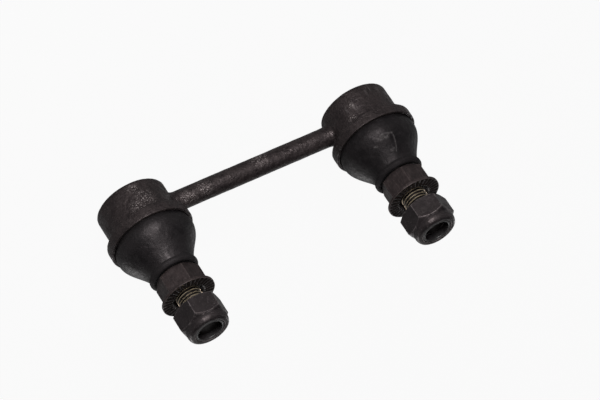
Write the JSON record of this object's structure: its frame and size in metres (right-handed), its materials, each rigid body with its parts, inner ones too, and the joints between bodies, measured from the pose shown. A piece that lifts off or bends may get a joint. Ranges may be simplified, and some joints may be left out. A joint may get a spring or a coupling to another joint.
{
  "type": "stabilizer link",
  "caption": "Forged steel anti-roll bar link: a round bar with a ball joint at each end, rubber boots, and parallel threaded studs with locking nuts.",
  "frame": {"origin": "midway between the two stud axes, at the height of the cups' closed ends, on which the link stands", "axes": "+X along the bar from the left cup to the right cup, +Z along both studs, from the closed ends towards the nuts"},
  "size_m": [0.1288, 0.0338, 0.0636],
  "materials": {
    "coated_forging": "satin black coating over a forged surface, fine grain, worn specks",
    "phosphated_stud": "brown-black phosphate, bright thread crests",
    "blackened_nut": "blackened steel, satin, brighter chamfer edges",
    "boot_rubber": "smooth moulded rubber, matte",
    "nylon": "dark nylon",
    "bearing_resin": "moulded acetal",
    "spring_steel": "bare spring steel",
    "plated_ring": "zinc plated",
    "coated_cover": "satin black coating"
  },
  "bodies": {
    "link": {"forged_link": "coated_forging", "left_lower_bearing_shell": "bearing_resin", "left_upper_bearing_shell": "bearing_resin", "left_preload_spring": "spring_steel", "left_cover_plate": "coated_cover", "right_lower_bearing_shell": "bearing_resin", "right_upper_bearing_shell": "bearing_resin", "right_preload_spring": "spring_steel", "right_cover_plate": "coated_cover"},
    "left_boot": {"left_dust_boot": "boot_rubber", "left_boot_base_ring": "plated_ring"},
    "left_sleeve": {"left_boot_neck_sleeve": "bearing_resin"},
    "left_stud": {"left_ball_stud": "phosphated_stud"},
    "left_insert": {"left_nylon_ring": "nylon"},
    "left_nut": {"left_lock_nut": "blackened_nut"},
    "right_boot": {"right_dust_boot": "boot_rubber", "right_boot_base_ring": "plated_ring"},
    "right_sleeve": {"right_boot_neck_sleeve": "bearing_resin"},
    "right_stud": {"right_ball_stud": "phosphated_stud"},
    "right_insert": {"right_nylon_ring": "nylon"},
    "right_nut": {"right_lock_nut": "blackened_nut"}
  },
  "joints": [
    {"name": "left_boot_turn", "type": "hinge", "parent": "link", "child": "left_boot", "pos_m": [-0.0475, 0, 0.0098], "axis": [0, 0, 1], "continuous": true},
    {"name": "left_stud_tilt", "type": "hinge", "parent": "left_boot", "child": "left_sleeve", "pos_m": [-0.0475, 0, 0.0098], "axis": [0, 1, 0], "range_deg": [-20, 20], "deforming": ["left_dust_boot"]},
    {"name": "left_stud_spin", "type": "hinge", "parent": "left_sleeve", "child": "left_stud", "pos_m": [-0.0475, 0, 0.0098], "axis": [0, 0, 1], "continuous": true},
    {"name": "left_nut_travel", "type": "slide", "parent": "left_stud", "child": "left_insert", "axis": [0, 0, 1], "range_m": [-0.0042, 0.009]},
    {"name": "left_nut_turn", "type": "hinge", "parent": "left_insert", "child": "left_nut", "pos_m": [-0.0475, 0, 0.0558], "axis": [0, 0, 1], "range_deg": [-1200, 2590]},
    {"name": "right_boot_turn", "type": "hinge", "parent": "link", "child": "right_boot", "pos_m": [0.0475, 0, 0.0098], "axis": [0, 0, 1], "continuous": true},
    {"name": "right_stud_tilt", "type": "hinge", "parent": "right_boot", "child": "right_sleeve", "pos_m": [0.0475, 0, 0.0098], "axis": [0, 1, 0], "range_deg": [-20, 20], "deforming": ["right_dust_boot"]},
    {"name": "right_stud_spin", "type": "hinge", "parent": "right_sleeve", "child": "right_stud", "pos_m": [0.0475, 0, 0.0098], "axis": [0, 0, 1], "continuous": true},
    {"name": "right_nut_travel", "type": "slide", "parent": "right_stud", "child": "right_insert", "axis": [0, 0, 1], "range_m": [-0.0048, 0.0084]},
    {"name": "right_nut_turn", "type": "hinge", "parent": "right_insert", "child": "right_nut", "pos_m": [0.0475, 0, 0.0564], "axis": [0, 0, 1], "range_deg": [-1380, 2410]}
  ],
  "couplings": [
    {"joint": "left_nut_travel", "follows": "left_nut_turn", "m_per_rad": 0.00019894},
    {"joint": "right_nut_travel", "follows": "right_nut_turn", "m_per_rad": 0.00019894}
  ]
}
